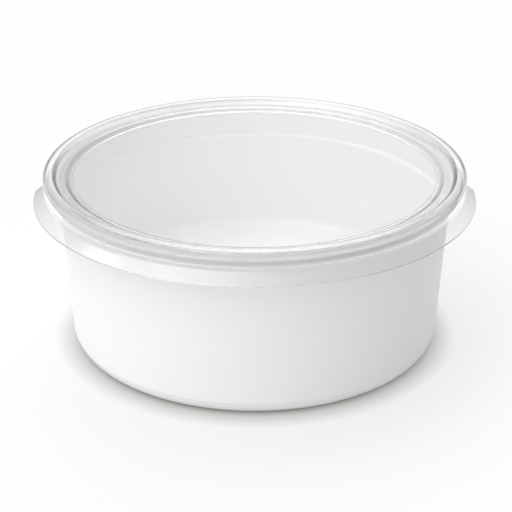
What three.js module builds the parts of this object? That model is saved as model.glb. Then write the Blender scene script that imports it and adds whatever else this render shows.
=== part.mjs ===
// A round portion cup of thin white plastic, shut by a clear lid that clips over its rim.
// Millimetres, +Z up. The cup stands on z = 0 and both pieces turn about the Z axis.
import * as THREE from "three";

// Both pieces
const facets = 72; // round the axis
const chordError = 0.045; // how far a straight facet may stray from a rounded corner
const fitGap = 0.3; // air between the lid and the rim that it clips over

// Cup
const wallRadiusAtTable = 37.8; // the outer wall carried down to z = 0
const wallRadiusAtRim = 39.8;
const wallThickness = 0.9;
const baseRounding = 4; // the soft outer corner that the cup stands on
const floorHeight = 7.9; // top of the pushed-up floor
const floorThickness = 0.8;
const floorRounding = 2.6; // where the floor turns up into the wall
const recessRadius = 32; // of the hollow under the floor
const recessDraft = 0.4;
const recessRounding = 1.2;
const ledgeHeight = 28.95; // the stacking ledge inside, below the rim
const ledgeDrop = 0.1;
const boreThickness = 0.4; // the wall between the ledge and the rim
const rimUnderside = 33.75;
const rimTop = 34.95;
const edgeRounding = 0.5; // of the foot's inner edge and of the lip round the rim

// Lid
const lidThickness = 0.45;
const skirtRadius = 45;
const skirtHeight = 31.05; // of the skirt's free edge
const panelRadius = 37.2; // the sunk flat panel in the middle
const panelHeight = 35.05;
const shelfHeight = rimTop + fitGap + lidThickness; // the ring that lies over the rim
const crownInnerRadius = 40.2;
const crownOuterRadius = 42.85;
const crownHeight = 36.9; // the raised bead, and the top of the whole
const stepWidth = 0.6; // what each step of the lid takes up sideways
const crownRounding = 1.1;
const bendRounding = 0.4; // of the other bends in the sheet
const sideHeight = 33.8; // where the side ends and the undercut starts
const undercutRadius = 42.25;
const undercutHeight = 33.1;

const rimRadius = crownOuterRadius - lidThickness - fitGap;

// A corner of an outline: distance from the axis, height, and the radius it is rounded with.
function corner(r, z, rounding = 0) {
  return { at: new THREE.Vector2(r, z), rounding };
}

// Radius of the cup's outer wall at a height.
function wallRadius(z) {
  return wallRadiusAtTable + ((wallRadiusAtRim - wallRadiusAtTable) * z) / rimUnderside;
}

// Points along a run of corners, each one rounded by an arc that touches both its sides.
function roundedRun(corners) {
  const points = [];
  corners.forEach(({ at, rounding }, i) => {
    if (!rounding) {
      points.push(at);
      return;
    }
    const back = corners[i - 1].at.clone().sub(at).normalize();
    const on = corners[i + 1].at.clone().sub(at).normalize();
    const turn = Math.PI - Math.acos(back.dot(on));
    const side = Math.sign(on.cross(back));
    const start = back.clone().multiplyScalar(rounding * Math.tan(turn / 2)).add(at);
    const centre = back.clone().add(on).normalize();
    centre.multiplyScalar(rounding / Math.cos(turn / 2)).add(at);
    const steps = Math.ceil(turn / (2 * Math.acos(1 - Math.min(chordError / rounding, 1))));
    for (let step = 0; step <= steps; step += 1) {
      points.push(start.clone().rotateAround(centre, (side * turn * step) / steps));
    }
  });
  return points;
}

// The run of corners that lies a distance to the right of another one, so that a sheet
// between the two has the same thickness all along.
function offsetRun(corners, distance) {
  return corners.map(({ at, rounding }, i) => {
    const before = corners[i - 1] ?? corners[i];
    const after = corners[i + 1] ?? corners[i];
    const first = (corners[i - 1] ? at : after.at).clone().sub(before.at).normalize();
    const second = (corners[i + 1] ? after.at : at).clone().sub(corners[i + 1] ? at : before.at);
    second.normalize();
    const right = new THREE.Vector2(first.y + second.y, -first.x - second.x);
    right.multiplyScalar(distance / (1 + first.dot(second)));
    const bend = Math.sign(first.cross(second)) * distance;
    return { at: at.clone().add(right), rounding: rounding && Math.max(0, rounding + bend) };
  });
}

// A solid turned about the Z axis from an outline that starts and ends on it.
function turned(name, outline, material) {
  const geometry = new THREE.LatheGeometry(outline, facets);
  geometry.rotateX(Math.PI / 2);
  const mesh = new THREE.Mesh(geometry, material);
  mesh.name = name;
  return mesh;
}

function makeCup() {
  const whitePlastic = new THREE.MeshStandardMaterial({ color: 0xf2f2f4, roughness: 0.38, metalness: 0 });
  const recessTop = floorHeight - floorThickness;
  const boreFoot = wallRadius(ledgeHeight) - boreThickness;
  const boreMouth = wallRadius(rimTop) - boreThickness;
  const innerWallTop = wallRadius(ledgeHeight) - wallThickness;
  const innerWallFoot = wallRadius(floorHeight) - wallThickness;
  const outline = roundedRun([
    corner(0, recessTop),
    corner(recessRadius - recessDraft, recessTop, recessRounding),
    corner(recessRadius, 0, edgeRounding),
    corner(wallRadiusAtTable, 0, baseRounding),
    corner(wallRadiusAtRim, rimUnderside, edgeRounding),
    corner(rimRadius, rimUnderside, edgeRounding),
    corner(rimRadius, rimTop, edgeRounding),
    corner(boreMouth, rimTop, edgeRounding),
    corner(boreFoot, ledgeHeight),
    corner(innerWallTop, ledgeHeight - ledgeDrop),
    corner(innerWallFoot, floorHeight, floorRounding),
    corner(0, floorHeight),
  ]);
  return turned("cup", outline, whitePlastic);
}

function makeLid() {
  const clearPlastic = new THREE.MeshStandardMaterial({
    color: 0xf4f6f7,
    roughness: 0.06,
    metalness: 0,
    transparent: true,
    opacity: 0.25,
  });
  const upperSide = [
    corner(0, panelHeight),
    corner(panelRadius, panelHeight, bendRounding),
    corner(panelRadius + stepWidth, shelfHeight, bendRounding),
    corner(crownInnerRadius, shelfHeight, bendRounding),
    corner(crownInnerRadius + stepWidth, crownHeight, bendRounding),
    corner(crownOuterRadius, crownHeight, crownRounding),
    corner(crownOuterRadius, sideHeight, bendRounding),
    corner(undercutRadius, undercutHeight, bendRounding),
    corner(skirtRadius, skirtHeight),
  ];
  const lowerSide = offsetRun(upperSide, lidThickness);
  const outline = [...roundedRun(lowerSide), ...roundedRun(upperSide).reverse()];
  return turned("lid", outline, clearPlastic);
}

const portionCup = new THREE.Group();
portionCup.add(makeCup(), makeLid());

export default portionCup;
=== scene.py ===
from math import cos, pi, radians, sin, tan

import bmesh
import bpy
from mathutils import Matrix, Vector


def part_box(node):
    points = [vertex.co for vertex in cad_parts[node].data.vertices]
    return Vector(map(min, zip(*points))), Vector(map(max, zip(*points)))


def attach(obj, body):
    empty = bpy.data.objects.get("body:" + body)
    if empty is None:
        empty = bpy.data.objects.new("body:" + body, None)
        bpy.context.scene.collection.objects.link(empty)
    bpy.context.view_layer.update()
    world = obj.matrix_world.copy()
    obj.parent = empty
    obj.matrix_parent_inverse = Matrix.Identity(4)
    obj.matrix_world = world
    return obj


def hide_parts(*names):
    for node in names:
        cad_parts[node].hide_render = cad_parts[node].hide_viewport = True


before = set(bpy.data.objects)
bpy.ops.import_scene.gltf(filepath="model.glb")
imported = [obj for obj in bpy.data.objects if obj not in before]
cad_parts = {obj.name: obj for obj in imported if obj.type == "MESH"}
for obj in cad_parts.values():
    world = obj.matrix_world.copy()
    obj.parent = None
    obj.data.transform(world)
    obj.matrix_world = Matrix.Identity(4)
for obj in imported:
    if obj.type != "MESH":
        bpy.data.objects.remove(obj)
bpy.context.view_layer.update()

mm = 0.001


# An outline is a run of corners (radius, height, rounding), all in millimetres. It is drawn as a
# wire in the XZ plane, and a vertex bevel rounds each corner; arcSteps is for a turn of 90 degrees.
def drawOutline(corners, arcSteps=6):
    bm = bmesh.new()
    verts = [bm.verts.new((r * mm, 0, z * mm)) for r, z, rounding in corners]
    for start, end in zip(verts, verts[1:]):
        bm.edges.new((start, end))
    places = [vert.co.copy() for vert in verts]
    for i, (r, z, rounding) in enumerate(corners):
        if rounding:
            back = places[i - 1] - places[i]
            ahead = places[i + 1] - places[i]
            turn = pi - back.angle(ahead)
            bmesh.ops.bevel(
                bm, geom=[verts[i]], offset=rounding * mm * tan(turn / 2), offset_type="OFFSET",
                segments=2 + round(arcSteps * turn / (pi / 2)), profile=0.5,
                affect="VERTICES", material=-1, clamp_overlap=False)
    return bm


# Long straight runs get a point close to both ends, so that smooth shading stays flat between them.
def holdStraightRuns(bm, longerThan=1.2, margin=0.25):
    for edge in list(bm.edges):
        length = edge.calc_length()
        if length > longerThan * mm:
            start, end = edge.verts
            made = bmesh.utils.edge_split(edge, start, margin * mm / length)[0]
            rest = edge if end in edge.verts else made
            bmesh.utils.edge_split(rest, end, margin * mm / rest.calc_length())


def spinRound(bm, facets, weldGap=0.0001):
    bmesh.ops.spin(
        bm, geom=bm.verts[:] + bm.edges[:], cent=(0, 0, 0), axis=(0, 0, 1), dvec=(0, 0, 0),
        angle=2 * pi, steps=facets, use_merge=True)
    bmesh.ops.remove_doubles(bm, verts=bm.verts, dist=weldGap * mm)  # closes the pole on the axis
    bmesh.ops.recalc_face_normals(bm, faces=bm.faces)


def finishPiece(bm, name, material):
    for face in bm.faces:
        face.smooth = True
    mesh = bpy.data.meshes.new(name)
    bm.to_mesh(mesh)
    bm.free()
    mesh.materials.append(material)
    piece = bpy.data.objects.new(name, mesh)
    bpy.context.scene.collection.objects.link(piece)
    return piece


def startMaterial(name):
    material = bpy.data.materials.new(name)
    material.use_nodes = True
    tree = material.node_tree
    tree.nodes.clear()
    shader = tree.nodes.new("ShaderNodeBsdfPrincipled")
    out = tree.nodes.new("ShaderNodeOutputMaterial")
    tree.links.new(shader.outputs["BSDF"], out.inputs["Surface"])
    return material, tree, shader


# Noise on Object coordinates; stretch is how many features there are to a metre along X, Y and Z.
def addNoise(tree, stretch, detail):
    place = tree.nodes.new("ShaderNodeTexCoord")
    scale = tree.nodes.new("ShaderNodeMapping")
    scale.inputs["Scale"].default_value = stretch
    noise = tree.nodes.new("ShaderNodeTexNoise")
    noise.inputs["Scale"].default_value = 1
    noise.inputs["Detail"].default_value = detail
    tree.links.new(place.outputs["Object"], scale.inputs["Vector"])
    tree.links.new(scale.outputs["Vector"], noise.inputs["Vector"])
    return noise.outputs["Fac"]


def addMath(tree, operation, *values):
    node = tree.nodes.new("ShaderNodeMath")
    node.operation = operation
    for socket, value in zip(node.inputs, values):
        if isinstance(value, (int, float)):
            socket.default_value = value
        else:
            tree.links.new(value, socket)
    return node.outputs["Value"]


# Turns start..end into low..high. Noise hardly leaves 0.3 to 0.7, so that is the usual span.
def addRange(tree, value, low, high, start=0.3, end=0.7):
    span = tree.nodes.new("ShaderNodeMapRange")
    span.inputs["From Min"].default_value = start
    span.inputs["From Max"].default_value = end
    span.inputs["To Min"].default_value = low
    span.inputs["To Max"].default_value = high
    tree.links.new(value, span.inputs["Value"])
    return span.outputs["Result"]


def mixColours(tree, share, first, second):
    mix = tree.nodes.new("ShaderNodeMix")
    mix.data_type = "RGBA"
    mix.inputs["A"].default_value = first
    mix.inputs["B"].default_value = second
    tree.links.new(share, mix.inputs["Factor"])
    return mix.outputs["Result"]


whitePlastic = {
    "ior": 1.49, "glossiest": 0.28, "dullest": 0.36,
    "paler": (0.91, 0.912, 0.932, 1), "darker": (0.89, 0.892, 0.912, 1),
    "cloudiness": (45, 45, 60),  # slow changes of tone
    "drawMarks": (300, 300, 60),  # gloss left by the mould, up the wall
    "orangePeel": (900, 900, 900), "peelDepth": 0.02, "peelStrength": 0.12,
}


def makeWhitePlastic():
    look = whitePlastic
    material, tree, shader = startMaterial("whitePlastic")
    clouds = addNoise(tree, look["cloudiness"], detail=3)
    marks = addNoise(tree, look["drawMarks"], detail=4)
    peel = addNoise(tree, look["orangePeel"], detail=2)
    tone = mixColours(tree, clouds, look["darker"], look["paler"])
    dullness = addRange(tree, marks, look["glossiest"], look["dullest"])
    bump = tree.nodes.new("ShaderNodeBump")
    bump.inputs["Distance"].default_value = look["peelDepth"] * mm
    bump.inputs["Strength"].default_value = look["peelStrength"]
    tree.links.new(peel, bump.inputs["Height"])
    shader.inputs["IOR"].default_value = look["ior"]
    tree.links.new(tone, shader.inputs["Base Color"])
    tree.links.new(dullness, shader.inputs["Roughness"])
    tree.links.new(bump.outputs["Normal"], shader.inputs["Normal"])
    return material


# The ring over the rim is greyer than the panel and the skirt. This is painted shade over the white rim
# under it, most of all where the sheet is seen edge-on (painted dark edge lines), and in noise lines after
# the fine turned lines of the mould (painted striations). The tones are shares of clear.
clearPlastic = {
    "ior": 1.5, "glossiest": 0.01, "dullest": 0.05, "smears": (60, 60, 60),
    # where the painted shade of the ring starts, and its painted dark edge lines and painted striations
    "paintedShadeFrom": 35.3, "paintedShadeFade": 0.2,
    "paintedEdgeShade": 0.15, "paintedEdgeStarts": 0.6, "paintedEdgeEnds": 0.85,
    "paintedLineShade": 0.8, "linesPerMetre": 1500,
}


def makeClearPlastic():
    look = clearPlastic
    material, tree, shader = startMaterial("clearPlastic")
    place = tree.nodes.new("ShaderNodeTexCoord")
    split = tree.nodes.new("ShaderNodeSeparateXYZ")
    tree.links.new(place.outputs["Object"], split.inputs["Vector"])
    x, y, z = split.outputs
    squared = addMath(tree, "MULTIPLY", x, x)
    squared = addMath(tree, "MULTIPLY_ADD", y, y, squared)
    fromAxis = addMath(tree, "SQRT", squared)
    turned = tree.nodes.new("ShaderNodeTexNoise")
    turned.noise_dimensions = "1D"
    turned.inputs["Scale"].default_value = look["linesPerMetre"]
    turned.inputs["Detail"].default_value = 2
    tree.links.new(fromAxis, turned.inputs["W"])
    # painted striations: noise lines after the mould's turned lines darken the clear colour
    paintedLineShade = addRange(tree, turned.outputs["Fac"], 1, look["paintedLineShade"])
    slant = tree.nodes.new("ShaderNodeLayerWeight")
    slant.inputs["Blend"].default_value = 0.5
    facing = slant.outputs["Facing"]
    # painted dark edge lines: the clear colour darkens where the sheet is seen edge-on
    paintedEdgeShade = addRange(tree, facing, 1, look["paintedEdgeShade"], look["paintedEdgeStarts"], look["paintedEdgeEnds"])
    paintedRingShade = addMath(tree, "SUBTRACT", 1, addMath(tree, "MULTIPLY", paintedEdgeShade, paintedLineShade))
    # the painted shade is kept to the ring above this height, over the cup's rim
    low = look["paintedShadeFrom"] * mm
    raised = addRange(tree, z, 0, 1, low, low + look["paintedShadeFade"] * mm)
    clearUnderPaintedShade = addMath(tree, "SUBTRACT", 1, addMath(tree, "MULTIPLY", paintedRingShade, raised))
    smears = addNoise(tree, look["smears"], detail=3)
    dullness = addRange(tree, smears, look["glossiest"], look["dullest"])
    shader.inputs["IOR"].default_value = look["ior"]
    shader.inputs["Transmission Weight"].default_value = 1
    tree.links.new(clearUnderPaintedShade, shader.inputs["Base Color"])
    tree.links.new(dullness, shader.inputs["Roughness"])
    return material


cup = {
    "facets": 288,
    "wallAtTable": 37.8, "wallAtRim": 39.8,  # radii of the tapered outer wall
    "thickness": 1.05, "boreThickness": 0.3,  # of the wall below and above the ledge
    "footInner": 32, "footOuter": 36.9, "footRounding": 3, "footDraft": 0.4,
    "breakHeight": 2.95, "breakRounding": 0.15,  # a crisp line where the base meets the wall
    "floor": 7.9, "floorThickness": 0.8, "floorRounding": 1.8, "recessRounding": 1.2,
    "nub": 0.8, "nubDrop": 0.25, "nubDraft": 0.15,  # of the gate, in a shallow well
    "nubRounding": 0.2, "nubFootRounding": 0.12,
    "well": 4, "wellDepth": 0.25, "wellDraft": 0.5, "wellRounding": 0.3,
    "ledge": 28.95, "ledgeDrop": 0.1, "ledgeRounding": 0.4, "boreFootRounding": 0.2,
    "rimUnderside": 33.75, "edgeRounding": 0.5, "rimUnderRounding": 0.45,
}


def makeCup(material):
    size = cup
    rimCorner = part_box("cup")[1]
    rimRadius = rimCorner[0] / mm
    rimTop = rimCorner[2] / mm
    recessTop = size["floor"] - size["floorThickness"]
    nubEnd = recessTop - size["nubDrop"]
    wellTop = recessTop + size["wellDepth"]

    def wall(z):
        return size["wallAtTable"] + (size["wallAtRim"] - size["wallAtTable"]) * z / size["rimUnderside"]

    bm = drawOutline([
        (0, nubEnd, 0),
        (size["nub"], nubEnd, size["nubRounding"]),
        (size["nub"] + size["nubDraft"], wellTop, size["nubFootRounding"]),
        (size["well"] - size["wellDraft"], wellTop, size["wellRounding"]),
        (size["well"], recessTop, size["wellRounding"]),
        (size["footInner"] - size["footDraft"], recessTop, size["recessRounding"]),
        (size["footInner"], 0, size["edgeRounding"]),
        (size["footOuter"], 0, size["footRounding"]),
        (wall(size["breakHeight"]), size["breakHeight"], size["breakRounding"]),
        (size["wallAtRim"], size["rimUnderside"], size["edgeRounding"]),
        (rimRadius, size["rimUnderside"], size["rimUnderRounding"]),
        (rimRadius, rimTop, size["edgeRounding"]),
        (wall(rimTop) - size["boreThickness"], rimTop, size["edgeRounding"]),
        (wall(size["ledge"]) - size["boreThickness"], size["ledge"], size["boreFootRounding"]),
        (wall(size["ledge"]) - size["thickness"], size["ledge"] - size["ledgeDrop"], size["ledgeRounding"]),
        (wall(size["floor"]) - size["thickness"], size["floor"], size["floorRounding"]),
        (0, size["floor"], 0),
    ])
    holdStraightRuns(bm)
    spinRound(bm, size["facets"])
    piece = finishPiece(bm, "whiteCup", material)
    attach(piece, "root")
    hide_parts("cup")


lid = {
    "facets": 576,  # bends in the clear sheet show every facet
    "thickness": 0.2,
    "panel": 36.85, "panelHeight": 35.05,
    "bead": 0.16, "beadInner": 0.35, "beadOuter": 0.4,  # a thin raised ring round the panel
    "stepFoot": 0.03, "stepWidth": 1.5,  # of the step beside it, up to the shelf
    "shelfHeight": 35.7, "bendRounding": 0.5, "softRounding": 0.8,
    "crownInner": 40.2, "crownOuter": 42.85, "crownStep": 0.6,
    "crownInnerRounding": 0.6, "crownRounding": 1.1,
    "sideHeight": 33.8, "undercut": 42.25, "undercutHeight": 33.1,
    "skirtHeight": 31.05, "edgeRounding": 0.12, "sharpFrom": 70,
}


def makeLid(material):
    size = lid
    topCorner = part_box("lid")[1]
    skirtRadius = topCorner[0] / mm
    crownHeight = topCorner[2] / mm
    bend = size["bendRounding"]
    softBend = size["softRounding"]
    bm = drawOutline([
        (0, size["panelHeight"], 0),
        (size["panel"] - size["beadInner"], size["panelHeight"], bend),
        (size["panel"], size["panelHeight"] + size["bead"], bend),
        (size["panel"] + size["beadOuter"], size["panelHeight"] + size["stepFoot"], bend),
        (size["panel"] + size["stepWidth"], size["shelfHeight"], softBend),
        (size["crownInner"], size["shelfHeight"], bend),
        (size["crownInner"] + size["crownStep"], crownHeight, size["crownInnerRounding"]),
        (size["crownOuter"], crownHeight, size["crownRounding"]),
        (size["crownOuter"], size["sideHeight"], bend),
        (size["undercut"], size["undercutHeight"], softBend),
        (skirtRadius, size["skirtHeight"], 0),
    ])
    holdStraightRuns(bm)
    spinRound(bm, size["facets"])
    panelFace = min(bm.faces, key=lambda face: face.calc_center_median().length)
    if panelFace.normal.z < 0:  # the outline is the upper side, so the thickness goes down from it
        bmesh.ops.reverse_faces(bm, faces=bm.faces)
    bmesh.ops.solidify(bm, geom=bm.faces[:], thickness=size["thickness"] * mm)
    skirtEdges = [edge for edge in bm.edges if edge.calc_face_angle(0) > radians(size["sharpFrom"])]
    bmesh.ops.bevel(
        bm, geom=skirtEdges, offset=size["edgeRounding"] * mm, offset_type="OFFSET", segments=3,
        profile=0.5, affect="EDGES", material=-1, clamp_overlap=False)
    piece = finishPiece(bm, "clearLid", material)
    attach(piece, "root")
    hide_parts("lid")


# A lit white table, darker close to the cup.
floor = {
    "size": 3, "tone": (0.2, 0.198, 0.196, 1), "glow": 0.71,
    "lit": (1, 1, 1, 1), "shadow": (0.06, 0.045, 0.02, 1),
    "shadowReach": 5, "shadowCurve": 0.75, "shadowSamples": 8,
}


def makeFloor():
    material, tree, shader = startMaterial("paleFloor")
    contact = tree.nodes.new("ShaderNodeAmbientOcclusion")
    contact.samples = floor["shadowSamples"]
    contact.inputs["Distance"].default_value = floor["shadowReach"] * mm
    openness = addMath(tree, "POWER", contact.outputs["AO"], floor["shadowCurve"])
    glow = mixColours(tree, openness, floor["shadow"], floor["lit"])
    shader.inputs["Base Color"].default_value = floor["tone"]
    shader.inputs["Roughness"].default_value = 1
    shader.inputs["Specular IOR Level"].default_value = 0
    shader.inputs["Emission Strength"].default_value = floor["glow"]
    tree.links.new(glow, shader.inputs["Emission Color"])
    bm = bmesh.new()
    bmesh.ops.create_grid(bm, x_segments=1, y_segments=1, size=floor["size"] / 2)
    piece = finishPiece(bm, "paleFloor", material)


camera = {
    "place": (0.00025, -0.30699, 0.15823), "downwards": 24.786,
    "lens": 114.17, "sensor": 36, "near": 0.01, "far": 20,
}


def makeCamera():
    data = bpy.data.cameras.new("photoCamera")
    data.lens = camera["lens"]
    data.sensor_width = camera["sensor"]
    data.clip_start = camera["near"]
    data.clip_end = camera["far"]
    seen = bpy.data.objects.new("photoCamera", data)
    seen.location = camera["place"]
    seen.rotation_euler = (radians(90 - camera["downwards"]), 0, 0)
    bpy.context.scene.collection.objects.link(seen)
    bpy.context.scene.camera = seen


# Soft bright patches of the room. Azimuth is clockwise from straight behind the cup, seen from
# above; the higher the focus, the narrower the patch.
room = {
    "backdrop": {"azimuth": 0, "elevation": 20, "brightness": 0.94, "focus": 60},
    "window": {"azimuth": 180, "elevation": 28, "brightness": 0.41, "focus": 20},
    "windowNear": {"azimuth": 205, "elevation": 28, "brightness": 0.37, "focus": 20},
    "windowSide": {"azimuth": 230, "elevation": 28, "brightness": 0.57, "focus": 20},
    "lampBack": {"azimuth": 0, "elevation": 55, "brightness": 3.2, "focus": 20},
    "lampNear": {"azimuth": 225, "elevation": 55, "brightness": 2.43, "focus": 20},
    "lampLeft": {"azimuth": 270, "elevation": 55, "brightness": 1.4, "focus": 20},
    "spot": {"azimuth": 296, "elevation": 48, "brightness": 3.5, "focus": 300},
    "lampAbove": {"azimuth": 0, "elevation": 75, "brightness": 1.3, "focus": 40},
}
roomTone = 0.13  # of the rest of the room


def makeRoom():
    world = bpy.data.worlds.new("softRoom")
    world.use_nodes = True
    tree = world.node_tree
    way = tree.nodes.new("ShaderNodeTexCoord")
    total = roomTone
    for patch in room.values():
        azimuth = radians(patch["azimuth"])
        elevation = radians(patch["elevation"])
        nearness = tree.nodes.new("ShaderNodeVectorMath")
        nearness.operation = "DOT_PRODUCT"
        nearness.inputs[1].default_value = (
            sin(azimuth) * cos(elevation), cos(azimuth) * cos(elevation), sin(elevation))
        tree.links.new(way.outputs["Generated"], nearness.inputs[0])
        share = addMath(tree, "MULTIPLY_ADD", nearness.outputs["Value"], 0.5, 0.5)  # 0 to 1
        glow = addMath(tree, "POWER", share, patch["focus"])
        total = addMath(tree, "MULTIPLY_ADD", glow, patch["brightness"], total)
    background = tree.nodes["Background"]
    background.inputs["Color"].default_value = (1, 1, 1, 1)
    tree.links.new(total, background.inputs["Strength"])
    bpy.context.scene.world = world


makeCamera()
print("camera placed")
makeCup(makeWhitePlastic())
print("cup made")
makeLid(makeClearPlastic())
print("lid made")
makeFloor()
makeRoom()
print("floor and room made")

bounces = 32  # light runs a long way inside the clear sheet
bpy.context.scene.view_settings.view_transform = "Standard"
bpy.context.scene.cycles.max_bounces = bounces
bpy.context.scene.cycles.transmission_bounces = bounces
bpy.context.scene.cycles.glossy_bounces = bounces
bpy.context.scene.cycles.transparent_max_bounces = bounces
